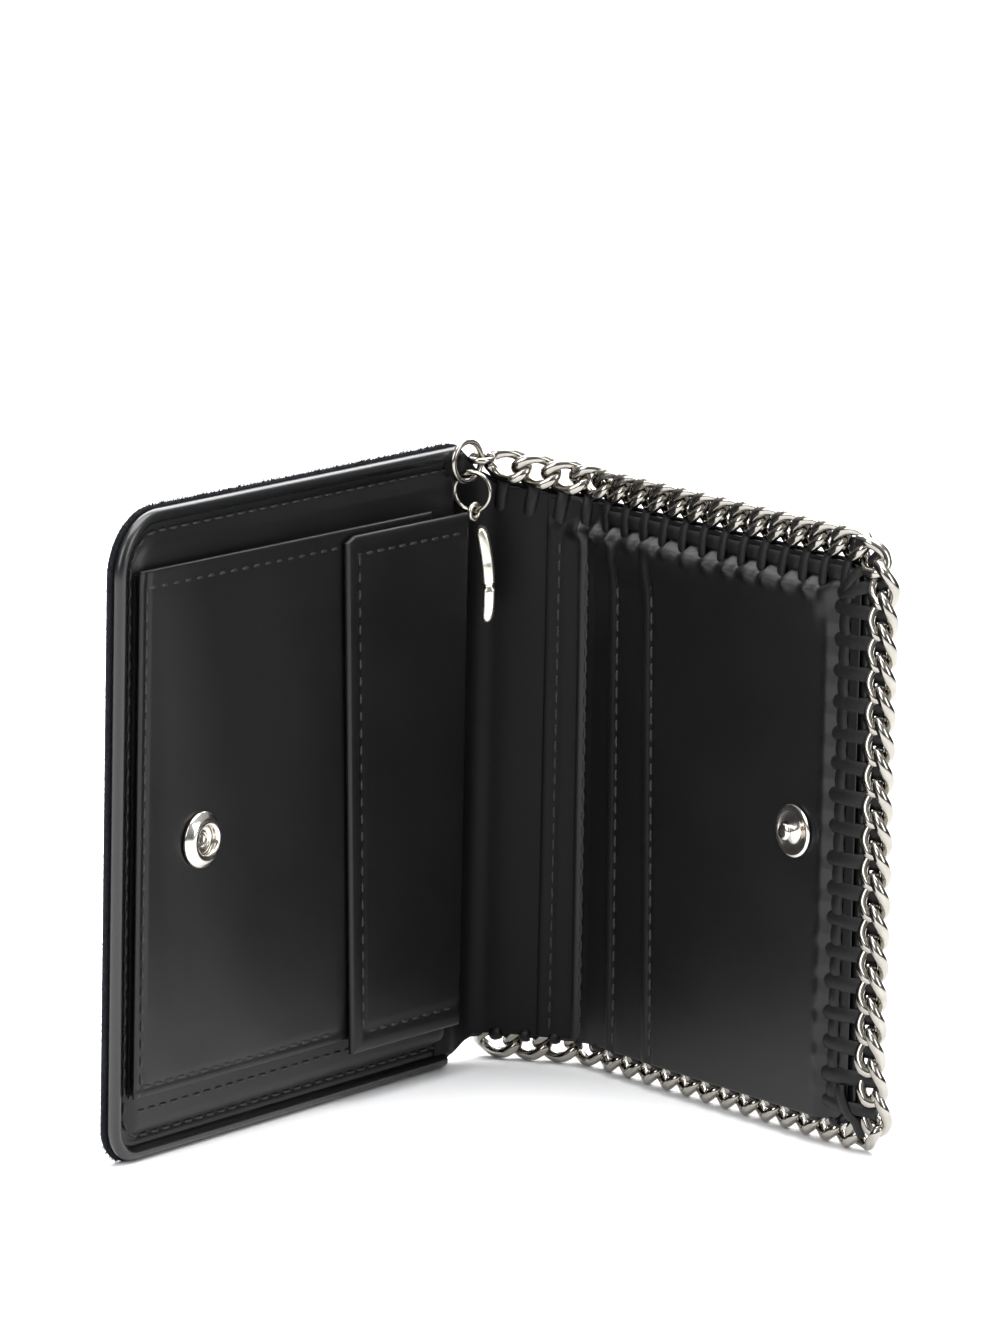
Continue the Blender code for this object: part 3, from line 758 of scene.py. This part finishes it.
INSET, lining_edge = 0.5, FLAP_EDGE - 0.3
c, z = spread(lines(LINING_JOIN, lining_edge, 0.55, edge_low=False), lines(0, 97, 0.55) / 97,
              lambda c: foot_edge(c) + INSET + arc_drop(c, lining_edge, LEATHER_RADIUS),
              lambda c: top_edge(c) - INSET - arc_drop(c, lining_edge, LEATHER_RADIUS))
d = np.minimum(np.minimum(top_edge(c) - INSET - z, z - foot_edge(c) - INSET),
               corner_distance(c, z, lining_edge, FLAP_FOOT + INSET, FLAP_TOP - INSET, LEATHER_RADIUS,
                               LEATHER_RADIUS))
edge = rolled(np.maximum(d, 0), LINING / 2)
flap_lining = slab("lining_flap", c, z, 1.75 - edge, 1.15 + edge, panel_leather)
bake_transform(flap_lining)
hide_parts("flap_lining", "flap_lacing")

SLOT_TOP, SLOT_FOOT, SLOT_ROW = 100.3, 5.0, 2.3
SLOT_TALL, LAYER, LEATHER, DEEPEST = SLOT_TOP - SLOT_FOOT, 0.42, 0.41, 1.85


def leather_face(c):
    """Depth of the topmost leather: one layer more past each card slot's edge."""
    return np.interp(c, (112, 116, 121, 124, 131, 134, 141, 144),
                     (1.75, 2.26, 2.26, 2.68, 2.68, 3.1, 3.1, 3.52))


def pinch(c, z):
    """How far the lacing presses the border's layers together, from 0 to 1."""
    top_wave, side_wave = scallops(c, z)
    return np.maximum(ease((z - HOLES_TOP - 1.5 * top_wave) / 1.0),
                      ease((c - HOLES_SIDE - 0.8 * side_wave) / 2.6))


slot_edges = ((114.6, 0.0, 134.0), (120.6, 0.8, 142.0), (129.8, 1.7, 153.0), (139.3, 2.9, 195.6))
slot_rows = []
for index, (start, slant, end) in enumerate(slot_edges):
    base = DEEPEST + LAYER * index
    u = lines(0, end - start, 0.55 if index < 3 else 0.5) / (end - start)
    u, z = upright(u, SLOT_FOOT, SLOT_TOP, 0.55)
    left = start + slant * (1 - (z - SLOT_FOOT) / SLOT_TALL)
    c = left + u * (end - left)
    if index == 3:
        high = SLOT_TOP - arc_drop(c, end, LEATHER_RADIUS)
        low = SLOT_FOOT + arc_drop(c, end, LEATHER_RADIUS)
        z = low + (high - low) * (z - SLOT_FOOT) / SLOT_TALL
    from_edge = c - left
    d = np.minimum(np.minimum(from_edge, end - c), np.minimum(z - SLOT_FOOT, SLOT_TOP - z))
    relief = 0.24 * np.exp(-((from_edge - 0.9) / 0.9) ** 2) - 0.22 * groove(from_edge - SLOT_ROW, 0.4)
    tuck = ease((end - c) / 5) if index < 3 else 1.0
    edge = rolled(np.maximum(d, 0), 0.24)
    press = pinch(c, z)
    front = base + LEATHER + relief * tuck + pucker(c, z) * tuck
    front = front * (1 - press) + (2.0 + 0.16 * index) * press - edge
    behind = base * (1 - press) + (1.86 + 0.16 * index) * press + edge * (1 - 0.8 * press)
    # Slot 1, on the spine, uses the darker copy of the leather: its darker colour is painted shade.
    panel = slab(f"card_slot_panel_{index + 1}", c, z, front, behind,
                 spine_leather_painted_shade if index == 0 else panel_leather)
    if index < 2:
        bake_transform(panel)
    else:
        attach(panel, "flap")
    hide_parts(f"card_slot_{index + 1}")
    row_z = np.linspace(SLOT_FOOT + 1.0, 93.5, 60)
    row_c = start + slant * (1 - (row_z - SLOT_FOOT) / SLOT_TALL) + SLOT_ROW
    slot_rows.append((row_c, base + 0.33, row_z))
stitches("stitching_card_slot_1", slot_rows[:1], "spine", pitch=2.9)
stitches("stitching_card_slot_2", slot_rows[1:2], None, pitch=2.9)
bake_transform(bpy.data.objects["stitching_card_slot_2"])
stitches("stitching_card_slots_3_4", slot_rows[2:], "flap", pitch=2.9)

flap_inward = skin(160, 1, 0) - skin(160, 0, 0)
STUD_C, STUD_OFF = 181.3, 3.6
stud_base = skin(STUD_C, STUD_OFF, SNAP_LEVEL)
stud = lathe("snap_stud_flange", [(0, 0.0), (4.0, 0.0), (4.5, 0.18), (4.52, 0.38), (4.3, 0.58),
                                  (3.9, 0.66), (3.4, 0.56), (3.0, 0.42), (2.4, 0.4), (1.9, 0.62),
                                  (1.35, 0.86), (1.05, 1.05), (0.98, 1.25), (1.15, 1.5), (1.42, 1.75),
                                  (1.5, 2.05), (1.3, 2.35), (0.8, 2.52), (0, 2.58)],
             stud_base, flap_inward, nickel)
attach(stud, "flap")
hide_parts("snap_stud")


# ==== Lacing =============================================================================
# Flat black lace ties the chain to the leather: one loop through each link and over the
# border to a punched hole, above a flat strand that runs along the border.

lace = worn("lacing_leather", ("050506", "0a0a0b"), (0.8, 4.0), (0.42, 0.62), None, 0.5, 0.0001,
            Specular_IOR_Level=0.3)


def route_at(far):
    """(c, z, dc, dz) on the chain's centre line at a distance along it."""
    (c, c2, c1), (z, z2, z1) = (np.interp((far, far + 0.6, far - 0.6), chain_far, value)
                                for value in (chain_c, chain_z))
    size = math.hypot(c2 - c1, z2 - z1)
    return c, z, (c2 - c1) / size, (z2 - z1) / size


TOP_END = SIDE_LINE - CORNER_TOP
SPINE_LIMIT = (SPINE_END + FLAP_START) / 2
loops = {"spine": [], "flap": []}
widths = {"spine": [], "flap": []}
uneven = np.random.default_rng(11)
for far in link_far:
    c, z, dc, dz = route_at(far)
    down_side = ease((TOP_LINE - 2.5 - z) / 8) * ease((z - 4) / 8)
    if z < 12 and c < TOP_END + 4:
        across = np.linspace(0.9, 2.6, 16)
        depth = 0.3 + 2.0 * np.sin(np.pi * np.linspace(0.1, 1, 16)) ** 0.6
    else:
        reach = 7.8 + 4.4 * down_side
        across = np.linspace(-0.8 if c > 128 else 1.8, reach + 0.5, 16)
        face = leather_face(c + reach * dz) * (1 - down_side) + 2.9 * down_side
        swell = np.sin(np.pi * np.clip((across - 2.2) / (reach - 1.7), 0, 1) ** 0.8) ** 0.7
        depth = np.interp(across, (-0.8, 2.4, reach + 0.5), (0.4, 1.3, face - 0.7))
        depth = depth + uneven.uniform(0.75, 1.05) * swell
    lean = uneven.uniform(-0.35, 0.35) * np.linspace(-1, 1, 16)
    c, z = c + lean * dc, z + lean * dz
    body = "spine" if np.mean(c) < SPINE_LIMIT else "flap"
    loops[body].append(skin(c + across * dz, depth, z - across * dc))
    widths[body].append(oval(0.5, uneven.uniform(0.95, 1.15) + 0.28 * down_side, 12))
for body, paths in loops.items():
    inward = skin(112, 1, 0) - skin(112, 0, 0) if body == "spine" else flap_inward
    loop = sweep(f"lacing_loops_{body}", paths, widths[body], lace, normals=[inward] * len(paths))
    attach(loop, body)

run_far = np.arange(link_far[4], chain_far[-1] * 0.66, 0.6)
points = []
for far in run_far:
    c, z, dc, dz = route_at(far)
    in_by = 5.2 + 3.0 * ease((TOP_LINE - 2.5 - z) / 8)
    points.append((c + in_by * dz, z - in_by * dc))
points = np.array(points)
wave = 0.25 * np.cos(2 * np.pi * (run_far - link_far[0]) / (link_far[1] - link_far[0]))
on_flap = points[:, 0] > FLAP_START + 0.5
c, z = points[on_flap, 0], points[on_flap, 1]
depth = leather_face(c) * (1 - pinch(c, z)) + 2.4 * pinch(c, z) + 0.15 - wave[on_flap]
run = sweep("lacing_run", [skin(c, depth, z)], oval(0.45, 1.3, 12), lace, normals=[flap_inward])
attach(run, "flap")


# ==== Curb chain =========================================================================
# Polished steel curb chain: oval wire links with a quarter twist, flattened where they
# were pressed, laid edge to edge all round the flap and along both ends of the spine.

def steel_scratches(material, coords):
    """Finer scratches than the plated parts have."""
    return add(material, "ShaderNodeTexNoise", {"Vector": coords, "Scale": per_mm(0.18), "Detail": 2.0})


steel = worn("chain_steel", ("8e8a83", "b4b0a8"), (2.2, 3.0), (0.08, 0.2), steel_scratches, 0.1,
             0.00001, Metallic=1.0)
WIRE, HALF_LENGTH, HALF_WIDTH, TWIST = 0.96, 3.62, 2.3, math.radians(-50)
PRESSED_THROUGH, PRESSED_ACROSS = 1.6, 3.12


def link_points(rows=36, sides=10):
    """One link: x along the chain, y across it and z through it.

    The centre line is an oval, x = L cos t and y = W sin t, whose width is turned about the
    chain's line by the twist times cos t. The wire round it is pressed flat where it stands
    furthest out.
    """
    t = 2 * np.pi * np.arange(rows) / rows
    turn = TWIST * np.cos(t)
    path = np.stack([HALF_LENGTH * np.cos(t), HALF_WIDTH * np.sin(t) * np.cos(turn),
                     HALF_WIDTH * np.sin(t) * np.sin(turn)], -1)
    tangent = np.roll(path, -1, 0) - np.roll(path, 1, 0)
    tangent /= np.linalg.norm(tangent, axis=1)[:, None]
    out = path - (path * tangent).sum(1)[:, None] * tangent
    out /= np.linalg.norm(out, axis=1)[:, None]
    side = np.cross(tangent, out)
    s = 2 * np.pi * np.arange(sides) / sides
    ring = path[:, None] + WIRE * (out[:, None] * np.cos(s)[:, None]
                                   + side[:, None] * np.sin(s)[:, None])
    ring[..., 2] = np.clip(ring[..., 2], -PRESSED_THROUGH, PRESSED_THROUGH)
    ring[..., 1] = np.clip(ring[..., 1], -PRESSED_ACROSS, PRESSED_ACROSS)
    return ring.reshape(-1, 3), grid_faces(rows, sides, close_rows=True, close_columns=True)


shape, shape_faces = link_points()


def chain_off(far):
    """Depth of the chain's middle: in front of the leather's edge, but behind it at the foot."""
    turn = ease((far - chain_far[-1] * 0.62) / 14)
    return 1.5 * (1 - turn) - 0.6 * turn


groups = {"spine_upper": [], "spine_lower": [], "flap": []}
for far in link_far:
    c, z, dc, dz = route_at(far)
    centre = skin(c, chain_off(far), z)
    along = skin(c + 0.05, 1.0, z) - skin(c - 0.05, 1.0, z)
    along = along / np.linalg.norm(along) * dc + np.array([0, 0, 1.0]) * dz
    through = skin(c, 1.0, z) - skin(c, 0.0, z)
    outward = np.cross(through, along)
    placed = centre + shape[:, :1] * along + shape[:, 1:2] * outward + shape[:, 2:] * through
    key = "flap" if c > SPINE_LIMIT else ("spine_upper" if z > 50 else "spine_lower")
    groups[key].append(placed)
for key, placed in groups.items():
    count = len(shape)
    faces = [tuple(i * count + k for k in face) for i in range(len(placed)) for face in shape_faces]
    links = solid(f"chain_links_{key}", np.concatenate(placed), faces, steel)
    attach(links, "flap" if key == "flap" else "spine")
    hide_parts({"flap": "flap_chain", "spine_upper": "spine_chain_upper",
                        "spine_lower": "spine_chain_lower"}[key])


# ==== Rings and charm ====================================================================
# Round-wire rings: the large one passes through the chain's end link, the small one hangs
# in it and carries the charm's bail. The charm is a plain rounded tag, seen edge on.

FOLD_AT, RING_TURN, RING_LEVEL = np.array([-5.01, 34.77]), math.radians(47), 107.3
LARGE_RADIUS, SMALL_TURN, BAIL_TURN = 3.45, math.radians(-24), math.radians(54)


def wire_ring(name, centre, turn, radius, wire, material, lying=False, stretch=0.0):
    """A ring of round wire that stands on edge, turned about Z, or lies flat."""
    t = 2 * np.pi * np.arange(72) / 72
    shift = stretch / 2 * np.sign(np.round(np.cos(t), 6))
    flat, rise = shift + radius * np.cos(t), radius * np.sin(t)
    c, s = math.cos(turn), math.sin(turn)
    if lying:
        path = np.stack([flat * c - rise * s, flat * s + rise * c, 0 * t], -1)
        normal = np.array([0, 0, 1.0])
    else:
        path = np.stack([flat * c, flat * s, rise], -1)
        normal = np.array([-s, c, 0])
    return sweep(name, [path + centre], oval(wire, wire, 16), material, closed=True, normals=[normal])


ring_side = np.array([math.cos(RING_TURN), math.sin(RING_TURN)])
large = wire_ring("large_ring_wire", np.append(FOLD_AT - LARGE_RADIUS * ring_side, RING_LEVEL),
                  RING_TURN, LARGE_RADIUS, 0.52, steel)
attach(large, "large_ring")
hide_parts("large_ring")
small = wire_ring("small_ring_wire", np.array([-6.42, 31.74, 102.2]), SMALL_TURN, 3.35, 0.43, steel)
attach(small, "small_ring")
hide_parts("small_ring")
link_turn = math.radians(82.7)
link_at = FOLD_AT + 1.35 * np.array([math.cos(link_turn), math.sin(link_turn)])
end_link = wire_ring("end_link_wire", np.append(link_at, RING_LEVEL), link_turn, 1.8, 0.6, steel,
                     lying=True, stretch=2.7)
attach(end_link, "spine")
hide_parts("chain_end_link")
silver = plated("charm_silver", ("d6cfc2", "e8e3d8"), 0.27)
bail = wire_ring("charm_bail_wire", np.array([-6.0, 31.44, 98.75]), BAIL_TURN, 1.25, 0.42, silver)
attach(bail, "charm")
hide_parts("charm_bail")

TAG_TALL, TAG_WIDE, TAG_THICK, SQUARE, TAG_TOP = 16.6, 4.6, 2.0, 8.0, 96.2
half = TAG_TALL / 2
tag_c, tag_v = np.meshgrid(np.sin(np.linspace(-1, 1, 25) * math.pi / 2),
                           np.sin(np.linspace(-1, 1, 61) * math.pi / 2), indexing="ij")
reach = (np.abs(tag_c) ** SQUARE + np.abs(tag_v) ** SQUARE) ** (1 / SQUARE)
widest = np.maximum(np.abs(tag_c), np.abs(tag_v))
grow = np.where(reach > 0, widest / np.maximum(reach, 1e-9), 1)
height = tag_v * grow * half
band = np.exp(-((height + 1.95) / 0.3) ** 4)
dimple = np.exp(-((height - 2.3) / 0.4) ** 2)
y = tag_c * grow * TAG_WIDE / 2 * (1 - 0.14 * band - 0.05 * dimple)
bulge = TAG_THICK / 2 * np.sqrt(np.clip(1 - (1 - np.clip((1 - widest) / 0.16, 0, 1)) ** 2, 0, 1))
bulge *= 1 - 0.35 * band
bow = 0.75 * (1 - tag_v ** 2)
lean = math.radians(5)
centre = np.array([-3.9, 31.7, TAG_TOP - half])


def tag_side(sign):
    """One face of the tag: thickness along X, width along Y, leaning in X and Z."""
    x = sign * bulge + bow - 0.2
    return np.stack([x * math.cos(lean) - height * math.sin(lean), y,
                     height * math.cos(lean) + x * math.sin(lean)], -1).reshape(-1, 3) + centre


near, far = tag_side(1), tag_side(-1)
near[rim_of(*tag_c.shape)] += (0.04, 0, 0)
tag = sheet("charm_tag_body", near, far, tag_c.shape, silver)
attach(tag, "charm")
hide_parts("charm_tag")


# ==== Studio =============================================================================
# White table with soft light from above, from both sides and over its far part. The front
# stays darker, so that polished metal shows contrast.

def table_material():
    """Matt white paint with the faintest mottle."""
    material, shader, coords = new_material("studio_white", Specular_IOR_Level=0.1)
    mottle = add(material, "ShaderNodeTexNoise", {"Vector": coords, "Scale": 3.0})
    colour = add(material, "ShaderNodeMix", {"Factor": mottle.outputs["Fac"]}, data_type="RGBA")
    colour.inputs["A"].default_value = linear("f7f7f8")
    colour.inputs["B"].default_value = linear("fafafa")
    connect(material, colour.outputs[2], shader.inputs["Base Color"])
    shader.inputs["Roughness"].default_value = 0.9
    return material


white = table_material()
FLOOR, BELOW = 4000, 0.02
corners = [(x * FLOOR, y * FLOOR, -BELOW) for x, y in ((-1, -1), (1, -1), (1, 1), (-1, 1))]
floor_mesh = bpy.data.meshes.new("studio_floor")
floor_mesh.from_pydata((np.array(corners) * MM).tolist(), [], [(0, 1, 2, 3)])
floor_mesh.materials.append(white)
floor = bpy.data.objects.new("studio_floor", floor_mesh)
bpy.context.scene.collection.objects.link(floor)


def soft_light(name, at, aim, size, watts, tint="ffffff"):
    """A square area light in metres, aimed at a point."""
    data = bpy.data.lights.new(name, "AREA")
    data.shape, data.size, data.size_y, data.energy = "RECTANGLE", size[0], size[1], watts
    data.color = linear(tint)[:3]
    made = bpy.data.objects.new(name, data)
    made.location = at
    made.rotation_euler = (Vector(aim) - Vector(at)).to_track_quat("-Z", "Y").to_euler()
    bpy.context.scene.collection.objects.link(made)


soft_light("overhead", (0.0, -0.05, 1.3), (0, 0, 0.05), (1.4, 1.0), 26)
soft_light("left_front", (-0.9, -0.9, 0.8), (0, 0, 0.05), (0.7, 0.9), 10)
soft_light("right_front", (1.0, -0.7, 0.6), (0, 0, 0.05), (0.6, 0.8), 7)
soft_light("far_floor", (0.0, 1.5, 1.3), (0, 1.35, 0), (2.2, 1.3), 55)
world = bpy.data.worlds.new("studio_air")
world.use_nodes = True
place = add(world, "ShaderNodeTexCoord").outputs["Generated"]
axes = add(world, "ShaderNodeSeparateXYZ", {"Vector": place})
height = add(world, "ShaderNodeValToRGB", {"Fac": axes.outputs["Z"]})
height.color_ramp.elements[0].position, height.color_ramp.elements[1].position = 0.02, 0.75
height.color_ramp.elements[0].color = linear("3c3c3f")
height.color_ramp.elements[1].color = linear("f4f6fa")
background = world.node_tree.nodes["Background"]
connect(world, height.outputs["Color"], background.inputs["Color"])
background.inputs["Strength"].default_value = 0.6
bpy.context.scene.world = world

DISTANCE, TILT, ROLL = 1.4919, math.radians(11.083), math.radians(1.173)
target = Vector((-0.00103, 0.0361, 0.07073))
camera_data = bpy.data.cameras.new("camera")
camera_data.sensor_fit, camera_data.sensor_width, camera_data.lens = "HORIZONTAL", 36, 310.6
camera_data.clip_start, camera_data.clip_end = 0.1, 20
camera = bpy.data.objects.new("camera", camera_data)
bpy.context.scene.collection.objects.link(camera)
forward = Vector((0, math.cos(TILT), -math.sin(TILT)))
camera.matrix_world = (Matrix.Translation(target - forward * DISTANCE)
                       @ Matrix.Rotation(math.pi / 2 - TILT, 4, "X") @ Matrix.Rotation(ROLL, 4, "Z"))
bpy.context.scene.camera = camera
bpy.context.scene.view_settings.view_transform = "Standard"
